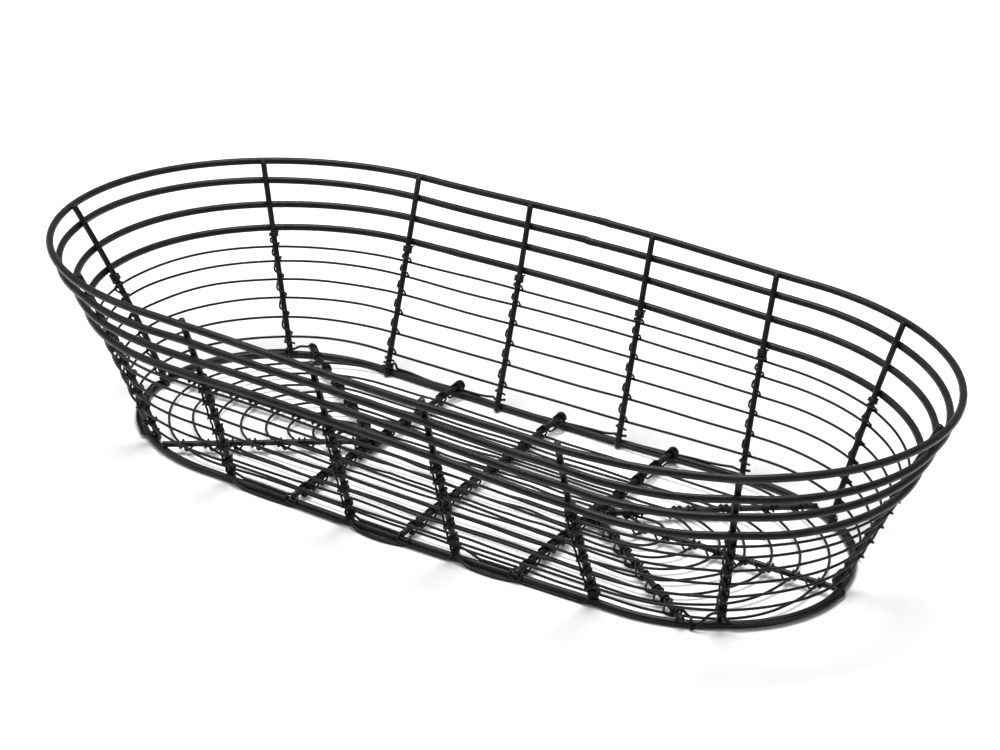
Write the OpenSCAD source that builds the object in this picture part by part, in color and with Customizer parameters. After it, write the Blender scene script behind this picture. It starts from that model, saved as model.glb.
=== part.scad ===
// Oblong wire bread basket. Heavy hoops, uprights, crossbars and spokes are
// welded into a frame, and thin wire rows are bound to them with fine wire.
// Millimetres, +Z up, +X along the length. The origin is the middle of the
// base, at the height the basket rests on. A height called h is measured
// from the centre of the base ring's wire.

/* [Overall size] */
// Length over the rim hoop
basket_length = 380; // [370:1:400]
// Width over the rim hoop
basket_width = 200; // [196:1:204]
// Height to the top of the rim hoop
basket_height = 80; // [80:1:90]
// Radius of the base ring's round ends, to the centre of the wire
base_radius = 63; // [63:0.5:66]

/* [Wire gauges] */
// Rim hoop, lower hoops and base ring
hoop_wire = 3; // [2.8:0.1:3.2]
// Uprights, crossbars and spokes
bar_wire = 2.5; // [2.3:0.1:2.7]
// Woven rows and the lashing round the base ring
row_wire = 1.1; // [0.8:0.1:1.2]
// Binding wire
binder_wire = 0.9; // [0.6:0.1:1]

/* [Walls] */
// Distance of each lower hoop below the rim hoop
hoop_drops = [7.7, 16.5, 25.5];
// Height h of each woven row on the walls
side_row_heights = [44.7, 38.8, 31.5, 24, 16.2, 8.2];
// Uprights: name, wall, place at the rim, place at the base. The place is
// X on a long wall, and degrees up from the X axis towards +Y on an end.
uprights = [
    ["upright_left_front", "left", -64.5, -58],
    ["upright_left_middle", "left", -18, -8.5],
    ["upright_left_back", "left", 44.5, 52.5],
    ["upright_back_1", "back", -96, -84],
    ["upright_back_2", "back", -40, -28],
    ["upright_back_3", "back", 18.5, 29.5],
    ["upright_back_4", "back", 76, 85],
    ["upright_right_back", "right", 60.5, 50],
    ["upright_right_middle", "right", 2, 6],
    ["upright_right_front", "right", -55, -49],
    ["upright_front_4", "front", 84, 84.5],
    ["upright_front_3", "front", 28.5, 26],
    ["upright_front_2", "front", -19, -21],
    ["upright_front_1", "front", -76, -78]
];

/* [Base] */
// Crossbars: name, X at the front end, X at the back end
crossbars = [
    ["crossbar_left", -46.5, -50],
    ["crossbar_middle", 4, 0],
    ["crossbar_right", 54, 53]
];
// How far the crossbars and spokes stand out past the base ring
bar_overhang = 0; // [-1:0.5:2]
// X of the hubs that the left and right spokes fan out from
hub_x = [-48, 54];
// Y of both hubs, and of the tip of every woven row
hub_y = -4; // [-5:0.5:-3]
// Spokes: name, end of the basket (-1 left, 1 right), degrees from the X
// axis towards +Y, gap between the hub and the inner end of the spoke
spokes = [
    ["spoke_left_front", -1, -40.5, 4],
    ["spoke_left_middle", -1, 0.5, 1.1],
    ["spoke_left_back", -1, 39, 4],
    ["spoke_right_front", 1, -39, 4],
    ["spoke_right_middle", 1, 2, 1.1],
    ["spoke_right_back", 1, 42, 4]
];
// Woven rows: distance of the front run from the X axis
front_runs = [56.5, 49.6, 42.7, 35.8, 28.9, 22, 15.1, 8.2];
// Woven rows: distance of the back run from the X axis
back_runs = [60.5, 47, 34, 30.5, 20, 17, 7, 4];
// Woven rows: gap from the base ring's centre line to the left tip
left_gaps = [13, 23.5, 34, 44.5, 55, 65.5, 76, 86.5];
// Woven rows: gap from the base ring's centre line to the right tip
right_gaps = [6, 16.5, 27, 37.5, 48, 58.5, 69, 79.5];

/* [Bindings] */
// Lean of each turn that ties a row to an upright, crossbar or spoke
tie_lean = -28; // [-32:1:-20]
// Height h of the close turns on each upright, under the lowest hoop
close_turn_heights = [49.2, 48.2, 47.2];
// Lean of the close turns
close_turn_lean = -6; // [-6:1:0]

/* [Hidden] */
$fn = 48;
ring_fn = 120;
steel = [0.13, 0.13, 0.13];
ring_z = hoop_wire / 2;
straight = (basket_length - basket_width) / 2;
rim_radius = basket_width / 2 - hoop_wire / 2;
rim_h = basket_height - hoop_wire;
wall_angle = atan((rim_radius - base_radius) / rim_h);
// The uprights touch the inside of the hoops, and the rows their outside.
upright_inset = (hoop_wire + bar_wire) / 2 / cos(wall_angle);
row_inset = upright_inset - (bar_wire + row_wire) / 2 / cos(wall_angle);
upright_top_h = rim_h + 1.3;
upright_foot_h = -0.9;
// The crossbars and spokes lie on the base ring, and the rows under them.
bar_z = hoop_wire + bar_wire / 2;
row_z = hoop_wire - row_wire / 2;
bar_end_radius = base_radius + hoop_wire / 2 + bar_overhang;
// The lashing lies against the base ring's outer face, under the bars.
lashing_rise = 0.7;
lashing_radius = base_radius
    + sqrt(pow((hoop_wire + row_wire) / 2, 2) - pow(lashing_rise, 2));

HOOPS = ["hoop_2", "hoop_3", "hoop_4"];

// ---- Places on the walls ----

// Radius of the wall's round ends at height h, on the hoops' centre lines.
function wall_radius(h) = base_radius + h * tan(wall_angle);

// Horizontal direction out of the wall at a place along it.
function wall_out(wall, place) =
    let(past_end = max(abs(place) - straight, 0) * sign(place) / rim_radius)
    wall == "right" ? [cos(place), sin(place), 0]
    : wall == "left" ? [-cos(place), sin(place), 0]
    : [past_end, (wall == "back" ? 1 : -1) * sqrt(1 - past_end * past_end), 0];

// Point at height h, set in from the hoops' centre surface.
function wall_point(wall, place, h, inset) =
    let(
        out = wall_out(wall, place) * (wall_radius(h) - inset),
        x = wall == "right" ? straight
            : wall == "left" ? -straight
            : min(max(place, -straight), straight)
    )
    [x + out[0], out[1], ring_z + h];

function upright_foot(u) = wall_point(u[1], u[3], upright_foot_h, upright_inset);
function upright_top(u) = wall_point(u[1], u[2], upright_top_h, upright_inset);

// ---- Places on the base ----

function unit(v) = v / norm(v);

function crossbar_end(bar, side) = [bar[side < 0 ? 1 : 2], side * bar_end_radius, bar_z];

function spoke_direction(spoke) = [spoke[1] * cos(spoke[2]), sin(spoke[2]), 0];

function spoke_hub(spoke) = [hub_x[spoke[1] < 0 ? 0 : 1], hub_y, bar_z];

// Distance from the hub at which a spoke has passed the base ring.
function spoke_length(spoke) =
    let(
        across = straight - abs(spoke_hub(spoke)[0]),
        nearest = across * cos(spoke[2]) - hub_y * sin(spoke[2])
    )
    nearest + sqrt(pow(bar_end_radius, 2) + pow(nearest, 2) - pow(across, 2) - pow(hub_y, 2));

// Radius of a woven row's quarter turn on the front (-1) or back (1) side.
function row_turn(i, side) = side < 0 ? front_runs[i] + hub_y : back_runs[i] - hub_y;

// X of a woven row's tip at the left (-1) or right (1) end.
function row_tip(i, end) =
    end * (straight + base_radius - (end < 0 ? left_gaps[i] : right_gaps[i]));

// Distance from the hub at which a spoke crosses woven row i.
function spoke_crossing(spoke, i) =
    let(
        turn = row_turn(i, sign(spoke[2])),
        run = abs(row_tip(i, spoke[1]) - spoke_hub(spoke)[0]) - turn,
        on_run = turn / abs(sin(spoke[2]))
    )
    on_run * cos(spoke[2]) <= run
        ? on_run
        : run * cos(spoke[2]) + sqrt(pow(turn, 2) - pow(run * sin(spoke[2]), 2));

// ---- Wire shapes ----

module wire_run(from, to, wire) {
    run = to - from;
    translate(from)
        rotate([0, acos(run[2] / norm(run)), atan2(run[1], run[0])])
            cylinder(d = wire, h = norm(run));
}

module wire_arc(centre, radius, start, sweep, wire) {
    translate(centre)
        rotate([0, 0, start])
            rotate_extrude(angle = sweep, $fn = ring_fn)
                translate([radius, 0])
                    circle(d = wire, $fn = 48);
}

// Closed oblong ring with two straight runs and two round ends.
module oblong_ring(radius, z, wire) {
    for (side = [-1, 1]) {
        wire_run([-straight, side * radius, z], [straight, side * radius, z], wire);
        wire_arc([side * straight, 0, z], radius, -90 * side, 180, wire);
    }
}

// ---- Bindings ----

// One turn of binding wire round a bar, leaning round the bar's X axis.
module turn(height, radius, offset, lean) {
    translate([offset, 0, height])
        rotate([lean, 0, 0])
            rotate_extrude()
                translate([radius, 0])
                    circle(d = binder_wire);
}

// Turns that tie rows to a bar that runs along Z, with the rows on its X side.
module ties(heights) {
    for (height = heights)
        turn(height, (bar_wire + row_wire + binder_wire) / 2, row_wire / 2, tie_lean);
}

// Stands its children on a bar: Z along the bar, X square to it towards out.
module on_bar(foot, top, out) {
    z = unit(top - foot);
    x = unit(out - z * (out * z));
    y = cross(z, x);
    multmatrix([
        [x[0], y[0], z[0], foot[0]],
        [x[1], y[1], z[1], foot[1]],
        [x[2], y[2], z[2], foot[2]],
        [0, 0, 0, 1]
    ])
        children();
}

// ---- Nodes ----

module hoop(h) {
    color(steel)
        oblong_ring(wall_radius(h), ring_z + h, hoop_wire);
}

module upright(u) {
    color(steel)
        wire_run(upright_foot(u), upright_top(u), bar_wire);
}

module crossbar(bar) {
    color(steel)
        wire_run(crossbar_end(bar, -1), crossbar_end(bar, 1), bar_wire);
}

module spoke(s) {
    color(steel)
        wire_run(
            spoke_hub(s) + spoke_direction(s) * s[3],
            spoke_hub(s) + spoke_direction(s) * spoke_length(s),
            bar_wire
        );
}

module side_row(h) {
    color(steel)
        oblong_ring(wall_radius(h) - row_inset, ring_z + h, row_wire);
}

module base_row(i) {
    color(steel)
        for (side = [-1, 1]) {
            turn = row_turn(i, side);
            y = hub_y + side * turn;
            left = row_tip(i, -1) + turn;
            right = row_tip(i, 1) - turn;
            wire_run([left, y, row_z], [right, y, row_z], row_wire);
            wire_arc([left, hub_y, row_z], turn, side < 0 ? 180 : 90, 90, row_wire);
            wire_arc([right, hub_y, row_z], turn, side < 0 ? 270 : 0, 90, row_wire);
        }
}

module base_lashing() {
    color(steel)
        oblong_ring(lashing_radius, ring_z + lashing_rise, row_wire);
}

module upright_bindings() {
    color(steel)
        for (u = uprights) {
            foot = upright_foot(u);
            top = upright_top(u);
            stretch = norm(top - foot) / (top[2] - foot[2]);
            touch_rise = (bar_wire + row_wire) / 2 * sin(wall_angle);
            on_bar(foot, top, wall_out(u[1], (u[2] + u[3]) / 2)) {
                for (h = close_turn_heights)
                    turn(
                        (h - upright_foot_h) * stretch,
                        (bar_wire + binder_wire) / 2,
                        0,
                        close_turn_lean
                    );
                ties([for (h = side_row_heights)
                    (h + touch_rise - upright_foot_h) * stretch]);
            }
        }
}

module crossbar_bindings() {
    color(steel)
        for (bar = crossbars) {
            front = crossbar_end(bar, -1);
            back = crossbar_end(bar, 1);
            stretch = norm(back - front) / (back[1] - front[1]);
            on_bar(front, back, [0, 0, -1])
                ties([for (y = concat(-front_runs, back_runs)) (y - front[1]) * stretch]);
        }
}

module spoke_bindings() {
    color(steel)
        for (s = spokes) {
            hub = spoke_hub(s);
            on_bar(hub, hub + spoke_direction(s), [0, 0, -1])
                ties([for (i = [0:len(front_runs) - 1]) spoke_crossing(s, i)]);
        }
}

hoop(rim_h);  // rim_hoop
for (i = [0:len(HOOPS) - 1])
    hoop(rim_h - hoop_drops[i]);
hoop(0);  // base_ring
for (u = uprights)
    upright(u);
for (bar = crossbars)
    crossbar(bar);
for (s = spokes)
    spoke(s);
for (i = [0:len(side_row_heights) - 1])
    side_row(side_row_heights[i]);
for (i = [0:len(front_runs) - 1])
    base_row(i);
base_lashing();
upright_bindings();
crossbar_bindings();
spoke_bindings();
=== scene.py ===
import math
import random

import bpy
import numpy as np
from mathutils import Matrix, Vector


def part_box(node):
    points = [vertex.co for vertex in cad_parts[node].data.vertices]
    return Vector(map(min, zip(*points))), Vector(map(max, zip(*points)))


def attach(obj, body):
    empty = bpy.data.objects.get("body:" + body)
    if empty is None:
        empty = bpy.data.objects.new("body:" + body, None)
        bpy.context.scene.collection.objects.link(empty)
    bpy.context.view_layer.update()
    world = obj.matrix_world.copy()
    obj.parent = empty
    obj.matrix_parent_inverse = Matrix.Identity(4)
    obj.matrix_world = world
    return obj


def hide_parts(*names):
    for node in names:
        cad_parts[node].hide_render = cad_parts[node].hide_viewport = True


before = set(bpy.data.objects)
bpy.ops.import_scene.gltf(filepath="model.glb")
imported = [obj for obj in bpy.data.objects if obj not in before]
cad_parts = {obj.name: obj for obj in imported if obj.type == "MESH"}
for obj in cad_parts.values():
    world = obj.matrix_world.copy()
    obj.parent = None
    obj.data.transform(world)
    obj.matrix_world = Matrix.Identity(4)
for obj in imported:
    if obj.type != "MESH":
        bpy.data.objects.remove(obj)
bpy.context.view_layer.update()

MM = 0.001
UP = np.array([0.0, 0.0, 1.0])

# ---- Driving values, in mm, as in the CAD ----
HUBS = {-1: np.array([-48.0, -4.0]), 1: np.array([54.0, -4.0])}
BAR = 2.5
ROW = 1.1
TIE = 0.9

# ---- Mesh detail ----
# Mm between the points of a path
HOOP_STEP = 2.0
ROW_STEP = 1.6
LASHING_STEP = 0.6
TIE_STEP = 0.45
# Faces round a wire
HOOP_SIDES = 24
BAR_SIDES = 20
ROW_SIDES = 10
TIE_SIDES = 8

# ---- CAD nodes ----

UPRIGHTS = ["upright_left_front", "upright_left_middle", "upright_left_back",
            "upright_back_1", "upright_back_2", "upright_back_3", "upright_back_4",
            "upright_right_back", "upright_right_middle", "upright_right_front",
            "upright_front_4", "upright_front_3", "upright_front_2", "upright_front_1"]
HOOPS = ["rim_hoop", "hoop_2", "hoop_3", "hoop_4", "base_ring"]
CROSSBARS = ["crossbar_left", "crossbar_middle", "crossbar_right"]
SPOKES = ["spoke_left_front", "spoke_left_middle", "spoke_left_back",
          "spoke_right_front", "spoke_right_middle", "spoke_right_back"]
SIDE_ROWS = ["side_row_%d" % i for i in range(1, 7)]
BASE_ROWS = ["base_row_%d" % i for i in range(1, 9)]


def box_mm(node):
    """Low and high corners of a CAD node's box, in mm."""
    lo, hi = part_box(node)
    return np.array(lo) / MM, np.array(hi) / MM


def ring_facts(node):
    """Straight half-length, end radius, centre height and wire of an oblong ring."""
    lo, hi = box_mm(node)
    wire = hi[2] - lo[2]
    half_x = (hi[0] - lo[0]) / 2
    half_y = (hi[1] - lo[1]) / 2
    return half_x - half_y, half_y - wire / 2, (lo[2] + hi[2]) / 2, wire


def rod_axis(node):
    """Both end centres of a straight wire, from its CAD mesh."""
    co = np.array([v.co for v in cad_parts[node].data.vertices], float) / MM
    co = np.unique(np.round(co, 4), axis=0)
    middle = (co.min(0) + co.max(0)) / 2
    axis = np.linalg.svd(co - co.mean(0))[2][0]
    along = (co - middle) @ axis
    ends = []
    for limit in (along.min(), along.max()):
        ring = co[np.abs(along - limit) < 0.02]
        ends.append((ring.min(0) + ring.max(0)) / 2)
    return ends


def unit(v):
    """A vector's direction, one long."""
    v = np.asarray(v, float)
    return v / np.linalg.norm(v)


# ---- Paths ----

def spline(points, step, closed=False):
    """Catmull-Rom curve through the points, sampled about every step mm."""
    p = np.asarray(points, float)
    n = len(p)
    out = []
    spans = n if closed else n - 1
    for i in range(spans):
        if closed:
            a, b, c, d = p[(i - 1) % n], p[i], p[(i + 1) % n], p[(i + 2) % n]
        else:
            b, c = p[i], p[i + 1]
            a = p[i - 1] if i else 2 * b - c
            d = p[i + 2] if i + 2 < n else 2 * c - b
        ta = max(np.linalg.norm(b - a), 1e-6) ** 0.5
        tb = max(np.linalg.norm(c - b), 1e-6) ** 0.5
        tc = max(np.linalg.norm(d - c), 1e-6) ** 0.5
        m1 = ((b - a) / ta - (c - a) / (ta + tb) + (c - b) / tb) * tb
        m2 = ((c - b) / tb - (d - b) / (tb + tc) + (d - c) / tc) * tb
        k = max(2, int(round(np.linalg.norm(c - b) / step)))
        for j in range(k):
            t = j / k
            out.append((2 * t**3 - 3 * t**2 + 1) * b + (t**3 - 2 * t**2 + t) * m1
                       + (3 * t**2 - 2 * t**3) * c + (t**3 - t**2) * m2)
    if not closed:
        out.append(p[-1])
    return np.array(out)


def wander(n, seed, lowest, highest, amount):
    """Smooth random offset that joins up with itself, n samples long."""
    rng = np.random.default_rng(seed)
    t = np.arange(n) / n * 2 * math.pi
    out = np.zeros(n)
    for k in range(lowest, highest + 1):
        out += rng.normal() * np.cos(k * t + rng.uniform(0, 2 * math.pi)) / math.sqrt(k)
    return out / max(np.abs(out).max(), 1e-9) * amount


def oblong(straight, radius, z, step, start):
    """Closed oblong path, anticlockwise from above, and its outward directions."""
    per = 4 * straight + 2 * math.pi * radius
    n = int(per / step)
    s = (np.arange(n) / n * per + start) % per
    pts = np.zeros((n, 3))
    out = np.zeros((n, 3))
    for i, d in enumerate(s):
        # start at the middle of the front run, heading +X
        if d < straight:
            x, y, o = d, -radius, (0, -1)
        elif d < straight + math.pi * radius:
            a = -math.pi / 2 + (d - straight) / radius
            o = (math.cos(a), math.sin(a))
            x, y = straight + radius * o[0], radius * o[1]
        elif d < 3 * straight + math.pi * radius:
            x, y, o = straight - (d - straight - math.pi * radius), radius, (0, 1)
        elif d < 3 * straight + 2 * math.pi * radius:
            a = math.pi / 2 + (d - 3 * straight - math.pi * radius) / radius
            o = (math.cos(a), math.sin(a))
            x, y = -straight + radius * o[0], radius * o[1]
        else:
            x, y, o = -straight + (d - 3 * straight - 2 * math.pi * radius), -radius, (0, -1)
        pts[i] = (x, y, z)
        out[i] = (o[0], o[1], 0)
    return pts, out


# ---- Wire meshes ----

# A cut end reaches this share of the wire's radius beyond the swept length.
BLUNT = 0.35
# Rings that round a cut end off: share of the radius, share of the reach
END_RINGS = ((0.86, 0.55), (0.55, 0.9))


def frames_along(p, closed):
    """Tangents of a path, and two directions square to them that turn as little as possible."""
    n = len(p)
    if closed:
        tan = np.roll(p, -1, 0) - np.roll(p, 1, 0)
    else:
        tan = np.gradient(p, axis=0)
    tan /= np.linalg.norm(tan, axis=1)[:, None]
    ref = UP if abs(tan[0][2]) < 0.8 else np.array([1.0, 0, 0])
    normal = np.zeros_like(p)
    normal[0] = unit(np.cross(np.cross(tan[0], ref), tan[0]))
    for i in range(1, n):
        normal[i] = unit(normal[i - 1] - tan[i] * (normal[i - 1] @ tan[i]))
    if closed:
        last = unit(normal[-1] - tan[0] * (normal[-1] @ tan[0]))
        angle = math.atan2(np.cross(last, normal[0]) @ tan[0], last @ normal[0])
        turn = np.arange(n) / n * angle
        side = np.cross(tan, normal)
        normal = normal * np.cos(turn)[:, None] + side * np.sin(turn)[:, None]
    return tan, normal, np.cross(tan, normal)


def band(first, second, sides, flip=False):
    """Faces between two rings of vertices that start at the given indices."""
    faces = []
    for j in range(sides):
        k = (j + 1) % sides
        quad = (first + j, first + k, second + k, second + j)
        faces.append(quad[::-1] if flip else quad)
    return faces


def sweep(path, radius, sides, closed=False, swell=None, blunt=BLUNT):
    """Vertices and faces of a round wire along a path, with rounded cut ends."""
    p = np.asarray(path, float)
    n = len(p)
    tan, normal, side = frames_along(p, closed)
    r = np.full(n, radius) if swell is None else radius * np.asarray(swell)
    a = np.arange(sides) / sides * 2 * math.pi
    ring = (normal[:, None, :] * np.cos(a)[None, :, None]
            + side[:, None, :] * np.sin(a)[None, :, None])
    verts = (p[:, None, :] + ring * r[:, None, None]).reshape(-1, 3)
    faces = []
    for i in range(n if closed else n - 1):
        faces += band(i * sides, ((i + 1) % n) * sides, sides)
    if closed:
        return verts, faces
    verts = list(verts)
    for end, sign in ((0, -1), (n - 1, 1)):
        base = end * sides
        for share, push in END_RINGS:
            first = len(verts)
            for spoke in ring[end]:
                verts.append(p[end] + spoke * r[end] * share + tan[end] * sign * push * blunt * r[end])
            faces += band(base, first, sides, sign < 0)
            base = first
        cap = tuple(base + j for j in range(sides))
        faces.append(cap if sign > 0 else cap[::-1])
    return np.array(verts), faces


def make_object(name, parts, material, nodes):
    """One mesh object from swept parts, standing for the named CAD nodes."""
    verts, faces, offset = [], [], 0
    for v, f in parts:
        verts.append(np.asarray(v) * MM)
        faces.extend(tuple(i + offset for i in face) for face in f)
        offset += len(v)
    mesh = bpy.data.meshes.new(name)
    mesh.from_pydata(np.concatenate(verts).tolist(), [], faces)
    mesh.validate()
    mesh.shade_smooth()
    mesh.materials.append(material)
    obj = bpy.data.objects.new(name, mesh)
    bpy.context.scene.collection.objects.link(obj)
    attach(obj, "root")
    if nodes:
        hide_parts(*nodes)
    return obj


# ---- Materials ----

def noise(tree, place, scale, detail, roughness=0.5):
    """Noise texture at a place, given by a socket."""
    node = tree.nodes.new("ShaderNodeTexNoise")
    node.inputs["Scale"].default_value = scale
    node.inputs["Detail"].default_value = detail
    node.inputs["Roughness"].default_value = roughness
    tree.links.new(place, node.inputs["Vector"])
    return node


def remap(tree, source, from_range, to_range):
    """Socket that maps one range of a source socket to another."""
    node = tree.nodes.new("ShaderNodeMapRange")
    node.inputs["From Min"].default_value, node.inputs["From Max"].default_value = from_range
    node.inputs["To Min"].default_value, node.inputs["To Max"].default_value = to_range
    tree.links.new(source, node.inputs["Value"])
    return node.outputs["Result"]


def powder_coat(name, dark, light, rough, grain, bump, seed):
    """Black powder coat: mottled colour, fine orange-peel bump, rubbed patches."""
    mat = bpy.data.materials.new(name)
    mat.use_nodes = True
    tree = mat.node_tree
    links = tree.links
    bsdf = tree.nodes["Principled BSDF"]
    place = tree.nodes.new("ShaderNodeTexCoord").outputs["Object"]

    mottling = noise(tree, place, 260, 6, 0.65)
    mottling.noise_dimensions = "4D"
    mottling.inputs["W"].default_value = seed
    tone = tree.nodes.new("ShaderNodeValToRGB")
    for stop, at, colour in zip(tone.color_ramp.elements, (0.36, 0.68), (dark, light)):
        stop.position = at
        stop.color = (*colour, 1)
    links.new(mottling.outputs["Fac"], tone.inputs["Fac"])

    patches = noise(tree, place, 38, 4)
    worn = tree.nodes.new("ShaderNodeMix")
    worn.data_type = "RGBA"
    worn.inputs[7].default_value = (light[0] * 1.9, light[1] * 1.9, light[2] * 1.85, 1)
    links.new(remap(tree, patches.outputs["Fac"], (0.52, 0.74), (0, 1)), worn.inputs[0])
    links.new(tone.outputs["Color"], worn.inputs[6])
    links.new(worn.outputs[2], bsdf.inputs["Base Color"])
    links.new(remap(tree, mottling.outputs["Fac"], (0.3, 0.7), rough), bsdf.inputs["Roughness"])

    peel = noise(tree, place, grain, 3, 0.55)
    relief = tree.nodes.new("ShaderNodeBump")
    relief.inputs["Strength"].default_value = bump
    relief.inputs["Distance"].default_value = 0.00018
    links.new(peel.outputs["Fac"], relief.inputs["Height"])
    links.new(relief.outputs["Normal"], bsdf.inputs["Normal"])
    bsdf.inputs["IOR"].default_value = 1.5
    bsdf.inputs["Specular IOR Level"].default_value = 0.22
    return mat


frame_coat = powder_coat("frame_powder_coat", (0.003, 0.003, 0.0032), (0.009, 0.009, 0.0092),
                         (0.26, 0.44), 1500, 0.5, 1.0)
row_coat = powder_coat("row_powder_coat", (0.003, 0.003, 0.0032), (0.008, 0.008, 0.0082),
                       (0.3, 0.5), 2200, 0.35, 2.0)
tie_coat = powder_coat("tie_powder_coat", (0.002, 0.002, 0.0022), (0.007, 0.007, 0.0072),
                       (0.32, 0.52), 2200, 0.35, 3.0)

# ---- How the wire is bent out of true ----

STRAIGHT, _, _, HOOP = ring_facts("rim_hoop")
BASE_Z = ring_facts("base_ring")[2]

# How far each hoop is bent out of true, in mm, at eight places round it:
# front left, front, front right, right, back right, back, back left, left.
# The first list is outwards and the second is upwards.
BENDS = {
    "base_ring": ([0.2, 1, -2, 2.2, 2.6, -1.2, -1.2, 0.5], [0, 0, 0, 0, 0, 0, 0, 0]),
    "hoop_4": ([0.3, 0, 1.2, -1, -1.4, 0.3, -0.2, -1.8], [1.3, 0.9, -1.2, -2.6, -0.9, 0.8, -0.6, -1.2]),
    "hoop_3": ([0.5, 0, 1, -1.2, -0.8, 0.4, -0.3, -1.2], [1.2, 0.4, -1, -2, -0.3, 1.1, -0.7, -0.8]),
    "hoop_2": ([1.8, 0, 1, -1.2, -0.6, 0.2, -0.5, 1.7], [1.6, 0, -1, -2.2, -0.6, 0.5, -1, 0]),
    "rim_hoop": ([2, 0, 0, -1.5, -1, 0.3, -0.3, 1.4], [2.6, 0, 0.8, 0, -0.6, 1.2, -0.6, 0]),
}
LEVELS = [(ring_facts(node)[2], bends) for node, bends in BENDS.items()]
# The woven rows climb towards the back right: mm upwards at the same places.
ROW_TILT = [0, 0, 0, 0.4, 1, 0.2, -1, -0.6]


def round_place(x, y):
    """Place round the basket from 0 to 8: two units to each run and each end."""
    angle = math.atan2(abs(y), abs(x) - STRAIGHT) / (math.pi / 2) if abs(x) > STRAIGHT else 1
    if abs(x) <= STRAIGHT:
        q = 1 + x / STRAIGHT
        return q if y < 0 else 6 - q
    if x > 0:
        return 3 - angle if y < 0 else 3 + angle
    return (7 + angle if y < 0 else 7 - angle) % 8


def around(values, q):
    """Smooth periodic curve through eight values."""
    i = int(math.floor(q))
    t = q - i
    a, b, c, d = (values[(i + k) % 8] for k in (-1, 0, 1, 2))
    return b + 0.5 * t * (c - a + t * (2 * a - 5 * b + 4 * c - d + t * (3 * (b - c) + d - a)))


def warp(points):
    """Moves points on the wall with the hoops that are bent out of true."""
    moved = np.array(points, float)
    for p in moved:
        q = round_place(p[0], p[1])
        z = min(max(p[2], LEVELS[0][0]), LEVELS[-1][0])
        k = 0
        while k < len(LEVELS) - 2 and z > LEVELS[k + 1][0]:
            k += 1
        (z0, low), (z1, high) = LEVELS[k], LEVELS[k + 1]
        f = (z - z0) / (z1 - z0)
        push = around(low[0], q) * (1 - f) + around(high[0], q) * f
        lift = around(low[1], q) * (1 - f) + around(high[1], q) * f
        over = max(abs(p[0]) - STRAIGHT, 0) * (1 if p[0] > 0 else -1)
        length = math.hypot(over, p[1])
        p[0] += push * over / length
        p[1] += push * p[1] / length
        p[2] += lift
    return moved


def wall_out(p):
    """Level direction out of the basket at a point on its wall."""
    over = max(abs(p[0]) - STRAIGHT, 0) * (1 if p[0] > 0 else -1)
    return unit([over, p[1], 0.0])


def downward(_):
    """The side of a floor bar that the rows lie on."""
    return -UP


# ---- Bars: uprights, crossbars and spokes ----

# Mm between the points of a bar's finely sampled axis
FINE = 0.25


def resample(path):
    """Path with points about FINE mm apart."""
    steps = np.linalg.norm(np.diff(path, axis=0), axis=1)
    reach = np.concatenate([[0], np.cumsum(steps)])
    marks = np.arange(0, reach[-1], FINE)
    return np.stack([np.interp(marks, reach, path[:, k]) for k in range(3)], axis=1)


def upright_path(node):
    """Axis of an upright from foot to top, following the bent hoops."""
    foot, top = sorted(rod_axis(node), key=lambda end: end[2])
    t = np.linspace(0, 1, 34)[:, None]
    straight = foot + (top - foot) * t
    bent = warp(straight)
    # stiff wire takes up only the broad shape of the bends
    shift = bent - straight
    for k in range(3):
        fit = np.polyfit(t[:, 0], shift[:, k], 2)
        bent[:, k] = straight[:, k] + np.polyval(fit, t[:, 0])
    return bent


def floor_bar_path(node, seed, bow=0.12):
    """Axis of a crossbar from front to back, or of a spoke from its hub outwards."""
    a, b = rod_axis(node)
    hub = HUBS[1 if a[0] > 0 else -1]
    if node in CROSSBARS:
        a, b = sorted((a, b), key=lambda end: end[1])
    else:
        a, b = sorted((a, b), key=lambda end: np.hypot(*(end[:2] - hub)))
    t = np.linspace(0, 1, 40)[:, None]
    side = unit(np.cross(b - a, UP))
    return a + (b - a) * t + side * np.sin(t * math.pi) * random.Random(seed).uniform(-bow, bow)


UPRIGHT_PATHS = {node: upright_path(node) for node in UPRIGHTS}
FLOOR_PATHS = {node: floor_bar_path(node, 100 + i) for i, node in enumerate(CROSSBARS + SPOKES)}

# Mm that the swept length stops short of a bar's ends, which are rounded beyond it
SETBACK = 0.3
for node, path in {**UPRIGHT_PATHS, **FLOOR_PATHS}.items():
    path = path.copy()
    path[0] += unit(path[1] - path[0]) * SETBACK
    path[-1] -= unit(path[-1] - path[-2]) * SETBACK
    wire = sweep(path, BAR / 2, BAR_SIDES, blunt=0.3)
    make_object(node + "_wire", [wire], frame_coat, [node])

UPRIGHT_BARS = {node: resample(path) for node, path in UPRIGHT_PATHS.items()}
FLOOR_BARS = {node: resample(path) for node, path in FLOOR_PATHS.items()}


def crossings(path, bar, limit):
    """Places where a closed path passes a bar: index on the path, index on the bar."""
    gaps = np.linalg.norm(path[:, None, :] - bar[None, :, :], axis=2)
    close = gaps.min(axis=1)
    found = []
    for i in np.argsort(close):
        if close[i] > limit:
            break
        if all(np.linalg.norm(path[i] - path[k]) > 6 for k, _ in found):
            found.append((int(i), int(gaps[i].argmin())))
    return found


def settle(path, bars, outward, gap, reach=7.0):
    """Bends a closed path over each bar that it passes, so that the two touch."""
    n = len(path)
    step = np.linalg.norm(path - np.roll(path, 1, 0), axis=1).mean()
    for bar in bars:
        for i, j in crossings(path, bar, gap + 1.6):
            along = unit(bar[min(j + 1, len(bar) - 1)] - bar[max(j - 1, 0)])
            out = outward(bar[j])
            out = unit(out - along * (out @ along))
            away = (path[i] - bar[j]) @ out
            k = (np.arange(n) - i + n // 2) % n - n // 2
            pull = np.exp(-((k * step / reach) ** 2))
            path = path + pull[:, None] * out * (math.copysign(gap, away) - away)
    return path


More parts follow.
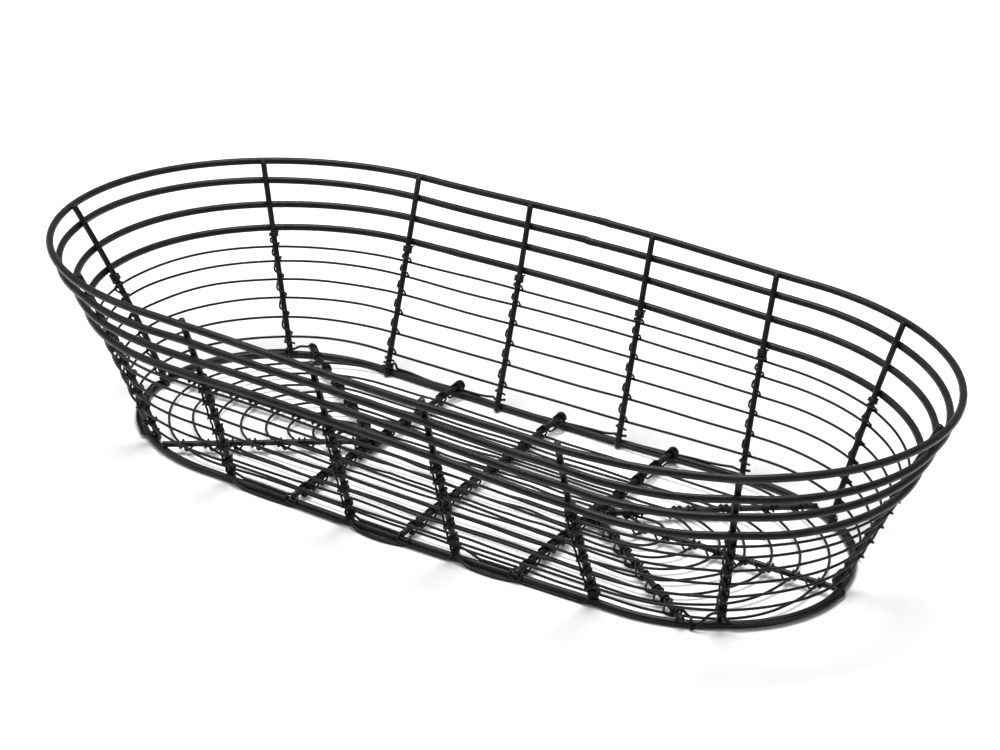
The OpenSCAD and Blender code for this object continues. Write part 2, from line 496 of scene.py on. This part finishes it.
# ---- Hoops and base ring ----

# Mm that a hoop and an upright are sunk into each other where they are welded
WELD_DEPTH = 0.12
# A butt weld is thicker than the wire by this share, and fades out this fast
WELD_SWELL = 0.09
WELD_FADE = 260


def hoop_path(node, seed, weld_x, slip):
    """Closed axis of a hoop, starting where its two ends are butt welded."""
    straight, radius, z, _ = ring_facts(node)
    start = 2 * straight + math.pi * radius - weld_x
    path, out = oblong(straight, radius, z, HOOP_STEP, start)
    n = len(path)
    path += out * wander(n, seed, 2, 7, 0.22)[:, None]
    if node != "base_ring":
        path[:, 2] += wander(n, seed + 50, 2, 6, 0.2)
    path = warp(path)
    path = settle(path, UPRIGHT_BARS.values(), wall_out, (HOOP + BAR) / 2 - WELD_DEPTH, reach=12.0)
    step = np.arange(n) / n
    # the ends don't quite line up
    path[:, 2] += slip * (np.exp(-step * 60) - np.exp(-(1 - step) * 60))
    path[:, 2] = np.maximum(path[:, 2], BASE_Z)
    return path


def hoop_mesh(path):
    """Hoop wire, a little thicker at its butt weld unless it rests on the floor."""
    step = np.arange(len(path)) / len(path)
    bead = np.exp(-((step * WELD_FADE) ** 2)) + np.exp(-(((1 - step) * WELD_FADE) ** 2))
    swell = 1 + WELD_SWELL * bead
    if path[:, 2].min() < BASE_Z + 1:
        swell = None
    return sweep(path, HOOP / 2, HOOP_SIDES, closed=True, swell=swell)


# X of each hoop's butt weld on the back run, and how far its ends miss each other
WELDS = ((-5, 0.12), (-12, 0.2), (-62, 0.08), (-70, 0.08), (-30, 0))
HOOP_PATHS = {node: hoop_path(node, 11 + i, *weld)
              for i, (node, weld) in enumerate(zip(HOOPS, WELDS))}
for node, path in HOOP_PATHS.items():
    make_object(node + "_wire", [hoop_mesh(path)], frame_coat, [node])

# ---- Woven rows ----

TOUCH = (BAR + ROW) / 2


def side_row_path(node, seed):
    """Closed path of a row on the walls, bent by hand round the uprights."""
    straight, radius, z, _ = ring_facts(node)
    path, out = oblong(straight, radius, z, ROW_STEP, 17 + seed * 13)
    n = len(path)
    path += out * wander(n, seed, 3, 16, 0.3)[:, None]
    path[:, 2] += wander(n, seed + 50, 3, 18, 0.35)
    path[:, 2] += [around(ROW_TILT, round_place(p[0], p[1])) for p in path]
    return settle(warp(path), UPRIGHT_BARS.values(), wall_out, TOUCH)


def base_row_path(node, seed):
    """Closed path of a base row: two straight runs and four quarter turns, laid by hand."""
    lo, hi = box_mm(node)
    half = (hi[2] - lo[2]) / 2
    hub_y = HUBS[1][1]
    front, back = hub_y - (lo[1] + half), (hi[1] - half) - hub_y
    left, right = lo[0] + half, hi[0] - half
    z = (lo[2] + hi[2]) / 2
    pts = []

    def turn(cx, r, a0):
        k = max(6, int(r * math.pi / 2 / ROW_STEP))
        for j in range(k):
            a = math.radians(a0 + 90 * j / k)
            pts.append((cx + r * math.cos(a), hub_y + r * math.sin(a), z))

    def run(x0, x1, y):
        k = max(2, int(abs(x1 - x0) / ROW_STEP))
        for j in range(k):
            pts.append((x0 + (x1 - x0) * j / k, y, z))

    run(left + front, right - front, hub_y - front)
    turn(right - front, front, 270)
    turn(right - back, back, 0)
    run(right - back, left + back, hub_y + back)
    turn(left + back, back, 90)
    turn(left + front, front, 180)
    path = np.array(pts)
    n = len(path)
    tan = np.roll(path, -1, 0) - np.roll(path, 1, 0)
    out = np.cross(tan, UP)
    out /= np.linalg.norm(out, axis=1)[:, None]
    path = path + out * wander(n, seed, 3, 16, 1.0)[:, None]
    path[:, 2] -= np.abs(wander(n, seed + 50, 3, 12, 0.5))
    return settle(path, FLOOR_BARS.values(), downward, TOUCH)


SIDE_PATHS = [side_row_path(node, 201 + i) for i, node in enumerate(SIDE_ROWS)]
BASE_PATHS = [base_row_path(node, 301 + i) for i, node in enumerate(BASE_ROWS)]
for node, path in zip(SIDE_ROWS + BASE_ROWS, SIDE_PATHS + BASE_PATHS):
    wire = sweep(path, ROW / 2, ROW_SIDES, closed=True)
    make_object(node + "_wire", [wire], row_coat, [node])

# ---- Bindings ----

# Uprights that are wound in crossing turns: the camera sees their rows in front of them
SEEN_FROM_OUTSIDE = ("upright_left_front", "upright_right_front",
                     "upright_front_4", "upright_front_3", "upright_front_2", "upright_front_1")
# Uprights that are wound more tightly than the rest
LOOSE = {"upright_left_front": 0.7, "upright_right_front": 0.6}
# Mm from a bar's axis to the binding wire's axis, on the bar and over a row
REACH = (BAR + TIE) / 2
OVER = BAR / 2 + ROW + TIE / 2
# Mm along a bar from one close turn to the next
PITCH = 0.9


def beside(bar, outward):
    """Function that gives the point at a distance along a bar, out from it and sideways."""
    reach = np.arange(len(bar)) * FINE

    def place(u, out, side):
        at = np.array([np.interp(u, reach, bar[:, k]) for k in range(3)])
        j = int(np.clip(u / FINE, 1, len(bar) - 2))
        along = unit(bar[j + 1] - bar[j - 1])
        n = outward(at)
        n = unit(n - along * (n @ along))
        return at + n * out + np.cross(along, n) * side

    return place


def binding(points):
    """One length of binding wire through the points."""
    return sweep(spline(points, TIE_STEP), TIE / 2, TIE_SIDES)


def tie_places(bar, rows):
    """Distances along a bar at which it meets the rows."""
    return sorted(j * FINE for path in rows for _, j in crossings(path, bar, TOUCH + 0.6))


def wind(place, u, f, steps, hand=1):
    """Points beside a bar. A step is a distance along it from u, in f mm, out from it and sideways."""
    return [place(u + along * f, out, side * hand) for along, out, side in steps]


def braid(place, stops, way, rng, loose, lay):
    """Two turns that cross over every row, and a slack run along one side between rows.

    The turns are stretched along the bar by lay at most, and less where rows are close together.
    """
    points = []
    for k, u in enumerate(stops):
        gap = abs(stops[k + 1] - u) if k + 1 < len(stops) else 4.0
        f = way * min(lay, gap / 4.6)
        bump = loose * rng.uniform(0.0, 0.15)
        slack = loose * rng.uniform(0.3, 0.8)
        # over the row slanting one way, and round the back
        points += wind(place, u, f, (
            (-1.2, 1.3, -1.45), (-0.2, OVER - 0.05, -0.5), (0.5, OVER - 0.2, 0.7), (1.0, 0.8, 1.4),
            (1.1, -0.2, REACH + bump * 0.5), (1.0, -1.3, 0.9), (0.95, -REACH - 0.05, -0.2),
            (1.0, -0.9, -1.45), (0.95, 0.5, -REACH - 0.1)))
        # over the first turn slanting the other way
        points += wind(place, u, f, (
            (0.75, 1.5, -1.35), (0.15, OVER + TIE * 0.75, -0.35), (-0.5, OVER + 0.1, 0.7),
            (-1.0, 0.9, 1.45), (-1.05, -0.3, REACH + bump), (-0.7, -1.35, 0.95),
            (0.3, -REACH - 0.6, 0.1), (1.3, -REACH - 0.3, -0.75),
            (1.95, -0.7, -1.6 - slack * 0.4), (2.4, 0.3, -REACH - slack)))
        if gap > 4:
            points.append(place(u + way * gap - 1.2 * f - way * 0.8, 0.8, -REACH - slack * 0.8))
    return points


def spoke_winding(place, stops, rng, hand):
    """One turn under every row with a pointed loop before it, and one turn after it."""
    points = []
    for k, u in enumerate(stops):
        before = u - stops[k - 1] if k else 9.0
        f = min(1.0, before / 8.0)
        loop = rng.uniform(0.5, 1.5) * f
        bump = rng.uniform(0.1, 0.6)
        points += wind(place, u, f, (
            (-3.4, -0.5, -REACH - 0.1), (-2.3, 0.4, -REACH - loop * 0.7),
            (-1.2, 1.5, -REACH - loop)), hand)
        points += wind(place, u, 1, (
            (-0.5, OVER - 0.1, -0.9), (0.1, OVER, 0.3), (0.5, 1.2, 1.35),
            (0.7, 0.0, REACH + bump * 0.4), (0.95, -1.25, 1.1), (1.2, -REACH - 0.05, -0.1),
            (1.45, -1.0, -1.3),
            (1.75, 0.4, -REACH - 0.05), (2.1, 1.4, -0.9), (2.35, REACH + 0.05, 0.3),
            (2.6, 0.9, 1.3), (2.85, -0.3, REACH + bump), (3.15, -1.3, 0.9),
            (3.4, -REACH - 0.05, -0.2), (3.7, -1.0, -1.2)), hand)
    return points


def close_turns(place, u, count, rng):
    """Close turns down a bar from a distance along it, eight points to a turn."""
    points = []
    for _ in range(count):
        for k in range(8):
            a = k * math.pi / 4
            r = REACH + rng.uniform(0, 0.12)
            points.append(place(u - k / 8 * PITCH, r * math.cos(a), r * math.sin(a)))
        u -= PITCH
    return points


def plain_winding(place, u, stops, rng):
    """One turn over every row on the way down a bar, and a last turn round its foot."""
    points = [place(u, REACH, 0.2)]
    for stop in stops:
        gap = u - stop
        bump = rng.uniform(0, 0.2)
        loop = rng.uniform(0, 0.12)
        points += wind(place, u, -gap, (
            (0.14, 1.1, 1.4), (0.26, 0.1, REACH + 0.05), (0.45, -0.2, REACH + bump),
            (0.56, -1.2, 1.25), (0.66, -REACH - 0.03, 0), (0.75, -1.2, -1.2)))
        points += wind(place, stop, 1, (
            (1.5, 0.0, -REACH - loop * 0.8), (0.95, 0.95, -REACH + 0.15 - loop),
            (0.4, OVER - 0.1, -1.0), (-0.1, OVER + 0.05, 0.1), (-0.6, OVER - 0.6, 0.95)))
        u = stop - 0.7
    return points + wind(place, u, -1, (
        (1.0, 1.0, REACH), (1.6, -0.6, REACH), (2.0, -REACH - 0.03, 0.2),
        (2.4, -0.8, -REACH), (2.8, 0.8, -REACH - 0.5)))


def side_ties(node, seed):
    """Wire wound down an upright: close turns under the lowest hoop, then on over the rows."""
    rng = random.Random(seed)
    bar = UPRIGHT_BARS[node]
    place = beside(bar, wall_out)
    stops = tie_places(bar, SIDE_PATHS)[::-1]
    hoop_at = crossings(HOOP_PATHS["hoop_4"], bar, HOOP + 1)[0][1] * FINE
    u = hoop_at - 2.3 + rng.uniform(-0.3, 0.1)
    points = [place(u + 0.2, 0.5, -REACH - 0.5)]
    count = rng.choice((2, 3, 3))
    points += close_turns(place, u, count, rng)
    u -= PITCH * count
    if node in SEEN_FROM_OUTSIDE:
        points += wind(place, u, -1, (
            (0.4, REACH, 0.2), (0.7, -0.2, REACH), (0.9, -REACH, 0), (1.2, 0.3, -REACH - 0.6)))
        points += braid(place, stops, -1, rng, LOOSE.get(node, 1.0), 1.75)
    else:
        points += plain_winding(place, u, stops, rng)
    return binding(points)


def floor_ties(node, seed):
    """Wire wound along a crossbar or spoke, under the rows."""
    bar = FLOOR_BARS[node]
    place = beside(bar, downward)
    stops = tie_places(bar, BASE_PATHS)
    rng = random.Random(seed)
    if node in CROSSBARS:
        points = braid(place, stops, 1, rng, 1.0, 1.0)
    else:
        points = spoke_winding(place, stops, rng, -1 if "left" in node else 1)
    return binding(points)


def coil(bar, outward, start, end, turns, radius, seed, tail=1.5):
    """Close turns of binding wire round a bar, with a short loose tail."""
    rng = random.Random(seed)
    place = beside(bar, outward)
    count = int(turns * 8)
    points = []
    for k in range(count + 1):
        a = k * math.pi / 4
        r = radius + rng.uniform(-0.05, 0.25)
        u = start + (end - start) * k / count + rng.uniform(-0.12, 0.12)
        points.append(place(u, r * math.cos(a), r * math.sin(a)))
    points.append(place(end + 0.3, radius + 0.5, 0.6 + tail))
    return binding(points)


UPRIGHT_TIES = [side_ties(node, 400 + i) for i, node in enumerate(UPRIGHTS)]
# thick knots where some uprights stand on the base ring
KNOTS = (("upright_front_4", 7.4, 3.0), ("upright_right_middle", 6.4, 1.6),
         ("upright_back_1", 6.2, 3.4), ("upright_right_back", 5.2, 3.2))
for i, (node, top, low) in enumerate(KNOTS):
    count = int((top - low) / 0.95)
    UPRIGHT_TIES.append(coil(UPRIGHT_BARS[node], wall_out, top, low, count, REACH + 0.25, 450 + i))
make_object("upright_bindings_wire", UPRIGHT_TIES, tie_coat, ["upright_bindings"])

CROSSBAR_TIES = [floor_ties(node, 500 + i) for i, node in enumerate(CROSSBARS)]
for side, node in ((-1, "crossbar_left"), (1, "crossbar_right")):
    # the hubs, where the middle spoke meets the crossbar
    bar = FLOOR_BARS[node]
    hub = HUBS[side][1] - bar[0][1]
    CROSSBAR_TIES.append(coil(bar, downward, hub - 4.5, hub + 4.5, 6, REACH + 0.45, 520 + side))
make_object("crossbar_bindings_wire", CROSSBAR_TIES, tie_coat, ["crossbar_bindings"])

SPOKE_TIES = [floor_ties(node, 540 + i) for i, node in enumerate(SPOKES)]
for i, node in enumerate(SPOKES):
    SPOKE_TIES.append(coil(FLOOR_BARS[node], downward, 0.8, 4.2, 3, REACH + 0.1, 560 + i))
make_object("spoke_bindings_wire", SPOKE_TIES, tie_coat, ["spoke_bindings"])

# ---- Lashing along the base ring ----

RING = HOOP_PATHS["base_ring"]
RING_STEPS = np.linalg.norm(np.roll(RING, -1, 0) - RING, axis=1)
RING_LENGTH = RING_STEPS.sum()
RING_REACH = np.concatenate([[0], np.cumsum(RING_STEPS)])
# Mm to the axis of a lashing wire that touches the ring, or a bar, from that one's axis
HUG = (HOOP + ROW) / 2
LEG = (BAR + ROW) / 2 + 0.05


def ring_place(p):
    """Distance round the base ring, anticlockwise from above, nearest to a point."""
    near = np.linalg.norm(RING[:, :2] - np.asarray(p)[:2], axis=1).argmin()
    return RING_REACH[near]


def by_ring(s, out, up):
    """Point beside the base ring's axis, at a distance round it."""
    loop = np.concatenate([RING, RING[:1]])
    at = np.array([np.interp(s % RING_LENGTH, RING_REACH, loop[:, k]) for k in range(3)])
    point = at + wall_out(at) * out + UP * up
    point[2] = max(point[2], ROW / 2)
    return point


def lashing(points):
    """One length of lashing wire through the points."""
    return sweep(spline(points, LASHING_STEP), ROW / 2, ROW_SIDES)


def foot_of(node):
    """Distance round the ring of an upright's foot, and points beside the upright."""
    bar = UPRIGHT_BARS[node]
    return ring_place(bar[0]), beside(bar, wall_out)


def end_of(node, front=False):
    """Distance round the ring of a crossbar's or spoke's end, and points beside it."""
    bar = FLOOR_BARS[node]
    if front:
        bar = bar[::-1]
    beyond = beside(bar, downward)
    last = (len(bar) - 1) * FINE
    return ring_place(bar[-1]), lambda u, out, side: beyond(last + u, out, side)


def swag(foot, bar, sag):
    """From an upright's foot, slack outside the ring, to the next bar's end."""
    a, leg = foot_of(foot)
    b, _ = end_of(bar, front=True)
    run = b - a
    points = [leg(6.6, -LEG, -0.3), leg(5.6, -0.6, -LEG), leg(4.6, 1.1, -1.5), leg(3.6, LEG, 0.3)]
    for f, out, up in ((0.1, 0.0, 0.2), (0.25, 0.55, -0.8), (0.45, 0.95, -1), (0.65, 1, -1),
                       (0.85, 0.6, -1)):
        points.append(by_ring(a + 1.2 + run * f, HUG + sag * out, up))
    points += [by_ring(b + 0.4, HUG + 0.3, -0.8), by_ring(b + 2.2, HUG - 0.1, -0.2),
               by_ring(b + 2.6, 1.5, 1.4), by_ring(b + 2.2, -0.4, 2.1)]
    return lashing(points)


def tight_run(bar, foot, low):
    """Hugging the ring's outer face from a bar's end to the next upright's foot."""
    b, _ = end_of(bar, front=True)
    a, leg = foot_of(foot)
    run = a - b
    points = [by_ring(b - 2.4, -0.6, 2.2), by_ring(b - 2.2, 1.3, 1.6), by_ring(b - 1.4, HUG, 0.2)]
    for k in range(1, 8):
        points.append(by_ring(b + run * k / 8, math.sqrt(HUG**2 - low**2), -low))
    points += [by_ring(a - 0.6, 1.8, 1.0), leg(3.8, LEG, 0.9), leg(4.6, 0.6, LEG), leg(5.2, -1.2, 1.4)]
    return lashing(points)


def over_run(foot, bar, high, reach):
    """Slanting down from an upright to the ring's top, then along it to the next bar."""
    a, leg = foot_of(foot)
    b, _ = end_of(bar, front=True)
    start = leg(high, 0.4, LEG)
    landing = by_ring(a + reach, -0.9, 1.85)
    points = [leg(high + 1.1, -1.5, 1.0), start, start * 0.66 + landing * 0.34,
              start * 0.3 + landing * 0.7, landing,
              by_ring(a + reach + 4, -0.8, 1.9), by_ring((a + reach + b) / 2, -0.7, 1.95),
              by_ring(b - 2.4, -0.9, 1.9), by_ring(b - 1.9, -2.6, 1.4)]
    return lashing(points)


def foot_arc(foot, reach):
    """Short arc that leaves the ring's top and ends in a stub on the upright's other side."""
    a, leg = foot_of(foot)
    points = [by_ring(a + reach + 30, HUG, 0.1), by_ring(a + reach + 18, HUG * 0.96, HUG * 0.28),
              by_ring(a + reach + 8, HUG * 0.8, HUG * 0.6), by_ring(a + reach, 0.5, HUG),
              by_ring(a + reach * 0.62, 0.2, HUG + 0.7), by_ring(a + reach * 0.35, 0.3, HUG + 1.2),
              leg(5.0, 0.9, LEG + 0.2), leg(5.1, LEG, 0.4), leg(5.3, 1.1, -1.4),
              leg(5.4, 0.4, -LEG - 1.0)]
    return lashing(points)


def foot_loop(foot, width, height, hand):
    """Small open loop that stands beside an upright's foot."""
    a, leg = foot_of(foot)
    points = [leg(3.4, 1.4, -1.2 * hand), leg(3.6, LEG, 0.2 * hand), leg(3.8, 0.6, LEG * hand),
              leg(3.2 + height, -0.2, (LEG + 0.7) * hand),
              leg(3.4 + height, 0.2, (LEG + width * 0.6) * hand),
              leg(2.2 + height * 0.7, 0.9, (LEG + width) * hand),
              by_ring(a + (LEG + width - 0.4) * hand, 0.4, HUG),
              by_ring(a + (LEG + width + 4) * hand, HUG * 0.6, HUG * 0.8),
              by_ring(a + (LEG + width + 12) * hand, HUG * 0.95, HUG * 0.3),
              by_ring(a + (LEG + width + 22) * hand, HUG, 0)]
    return lashing(points)


def bar_tie(bar):
    """Turn over a bar just past the ring, with a loose loop on its right inside."""
    _, end = end_of(bar)
    points = [end(-2.2, 1.6, 1.5), end(-1.4, 0.0, LEG), end(-1.0, -1.5, 1.0), end(-0.7, -LEG, -0.4),
              end(-0.6, -0.4, -LEG), end(-0.9, 1.4, -1.5), end(-3.2, 2.2, -2.6), end(-5.2, 1.9, -3.6),
              end(-7.4, 1.2, -3.4), end(-8.8, 0.6, -2.2), end(-9.4, 0.1, -LEG)]
    return lashing(points)


front_feet = ["upright_front_1", "upright_front_2", "upright_front_3", "upright_front_4"]
LASHINGS = []
for foot, bar, sag in zip(front_feet, CROSSBARS, (0.8, 1.9, 1.7)):
    LASHINGS.append(swag(foot, bar, sag))
    LASHINGS.append(swag(foot, bar, sag * 0.4))
for bar, foot, low in zip(CROSSBARS, front_feet[1:], (0.2, 0.3, 0.9)):
    LASHINGS.append(tight_run(bar, foot, low))
for foot, bar, high, reach in (("upright_front_3", "crossbar_right", 7.6, 10),
                               ("upright_front_2", "crossbar_middle", 4.6, 5),
                               ("upright_front_1", "crossbar_left", 4.4, 6)):
    LASHINGS.append(over_run(foot, bar, high, reach))
for foot, reach in (("upright_back_2", 11), ("upright_back_3", 9), ("upright_back_4", 15)):
    LASHINGS.append(foot_arc(foot, reach))
LASHINGS.append(foot_loop("upright_back_1", 2.4, 2.4, -1))
LASHINGS.append(foot_loop("upright_right_back", 1.2, 1.0, -1))
for bar in CROSSBARS:
    LASHINGS.append(bar_tie(bar))

# from the left back upright's foot over to the spoke's end
a, leg = foot_of("upright_left_back")
b, end = end_of("spoke_left_back")
LASHINGS.append(lashing([
    leg(3.2, 1.2, 1.4), leg(3.6, LEG, -0.2), leg(4.0, 0.4, -LEG), by_ring((a + b) / 2 + 1, 0.4, 3.6),
    end(-1.6, -1.2, 1.8), end(-0.8, -LEG, 0.2), end(-0.4, -0.4, -LEG),
    by_ring(b - 2.2, 1.4, 1.7), by_ring(b - 2.6, HUG, 0.2)]))
# from the right front upright, round the ring in a point, to the front spoke's end
a, leg = foot_of("upright_right_front")
b, end = end_of("spoke_right_front")
LASHINGS.append(lashing([
    leg(8.0, -1.2, 1.3), leg(8.2, 0.6, LEG), leg(8.4, LEG + 0.6, 0), leg(8.2, 1.2, -LEG - 0.4),
    by_ring(a - 5.4, 1.9, 5.0), by_ring(a - 8.0, 2.4, 2.2), by_ring(b + 3.0, HUG + 0.5, -0.6),
    by_ring(b + 2.4, HUG + 0.1, -0.9), by_ring(b + 2.2, 1.5, 1.5), by_ring(b + 2.3, 0, 2.4),
    end(-2.6, -0.6, 3.0), end(-4.6, -LEG, 1.6), end(-5.6, -LEG, -0.2), end(-6.0, 0, -LEG)]))
# round the two ends the wire hugs the ring's outer face
for start, stop in (("upright_right_front", "upright_right_middle"),
                    ("upright_left_back", "upright_left_middle"),
                    ("upright_left_middle", "upright_left_front")):
    a, leg = foot_of(start)
    b, last = foot_of(stop)
    run = (b - a) % RING_LENGTH
    points = [leg(4.8, -LEG, 0.2), leg(4.2, -0.3, LEG), leg(3.6, 1.2, 1.6)]
    for k in range(10):
        angle = 0.5 - k * 0.06
        points.append(by_ring(a + 4 + (run - 8) * k / 9, HUG * math.cos(angle), HUG * math.sin(angle)))
    points += [last(3.8, 1.5, -1.2), last(4.4, LEG, 0.4), last(5.0, 0.2, LEG), last(5.6, -1.3, 1.1)]
    LASHINGS.append(lashing(points))
make_object("base_lashing_wire", LASHINGS, row_coat, ["base_lashing"])

# ---- Floor, light and camera ----

FLOOR_HALF = 6
floor_mesh = bpy.data.meshes.new("floor")
corners = [(x * FLOOR_HALF, y * FLOOR_HALF, 0) for x, y in ((-1, -1), (1, -1), (1, 1), (-1, 1))]
floor_mesh.from_pydata(corners, [], [(0, 1, 2, 3)])
floor = bpy.data.objects.new("floor", floor_mesh)
bpy.context.scene.collection.objects.link(floor)
floor_mat = bpy.data.materials.new("floor_white")
floor_mat.use_nodes = True
floor_bsdf = floor_mat.node_tree.nodes["Principled BSDF"]
floor_bsdf.inputs["Base Color"].default_value = (0.93, 0.93, 0.93, 1)
floor_bsdf.inputs["Roughness"].default_value = 0.9
floor_mesh.materials.append(floor_mat)

# a white dome, darker towards the horizon
world = bpy.data.worlds.new("studio")
bpy.context.scene.world = world
world.use_nodes = True
sky = world.node_tree
background = sky.nodes["Background"]
background.inputs["Color"].default_value = (1, 1, 1, 1)
height = sky.nodes.new("ShaderNodeSeparateXYZ")
direction = sky.nodes.new("ShaderNodeTexCoord").outputs["Generated"]
sky.links.new(direction, height.inputs["Vector"])
dome = remap(sky, height.outputs["Z"], (0.1, 0.9), (0.15, 0.7))
sky.links.new(dome, background.inputs["Strength"])
bpy.context.scene.view_settings.view_transform = "Standard"


def area_light(name, at, to, size, power):
    """Soft box that faces from one place to another."""
    light = bpy.data.lights.new(name, "AREA")
    light.shape = "RECTANGLE"
    light.size, light.size_y = size
    light.energy = power
    obj = bpy.data.objects.new(name, light)
    obj.location = at
    obj.rotation_mode = "QUATERNION"
    obj.rotation_quaternion = (Vector(at) - Vector(to)).to_track_quat("Z", "Y")
    bpy.context.scene.collection.objects.link(obj)


area_light("overhead", (-0.15, 0.1, 1.25), (0, 0, 0.03), (1.1, 0.7), 20)
area_light("side", (-1.1, -0.7, 0.9), (0, 0, 0.03), (0.6, 0.6), 4)

# the camera stands at the front right and looks down, rolled a little about its line of sight
camera_data = bpy.data.cameras.new("camera")
camera = bpy.data.objects.new("camera", camera_data)
bpy.context.scene.collection.objects.link(camera)
right = Vector((0.85424, 0.51597, 0.06370))
up = Vector((-0.26369, 0.32442, 0.90842))
back = Vector((0.44805, -0.79280, 0.41318))
camera.matrix_world = Matrix((
    (right[0], up[0], back[0], 0.4518),
    (right[1], up[1], back[1], -0.7902),
    (right[2], up[2], back[2], 0.4596),
    (0, 0, 0, 1),
))
camera_data.sensor_width = 36
camera_data.lens = 91.8
camera_data.clip_start = 0.05
camera_data.clip_end = 30
bpy.context.scene.camera = camera
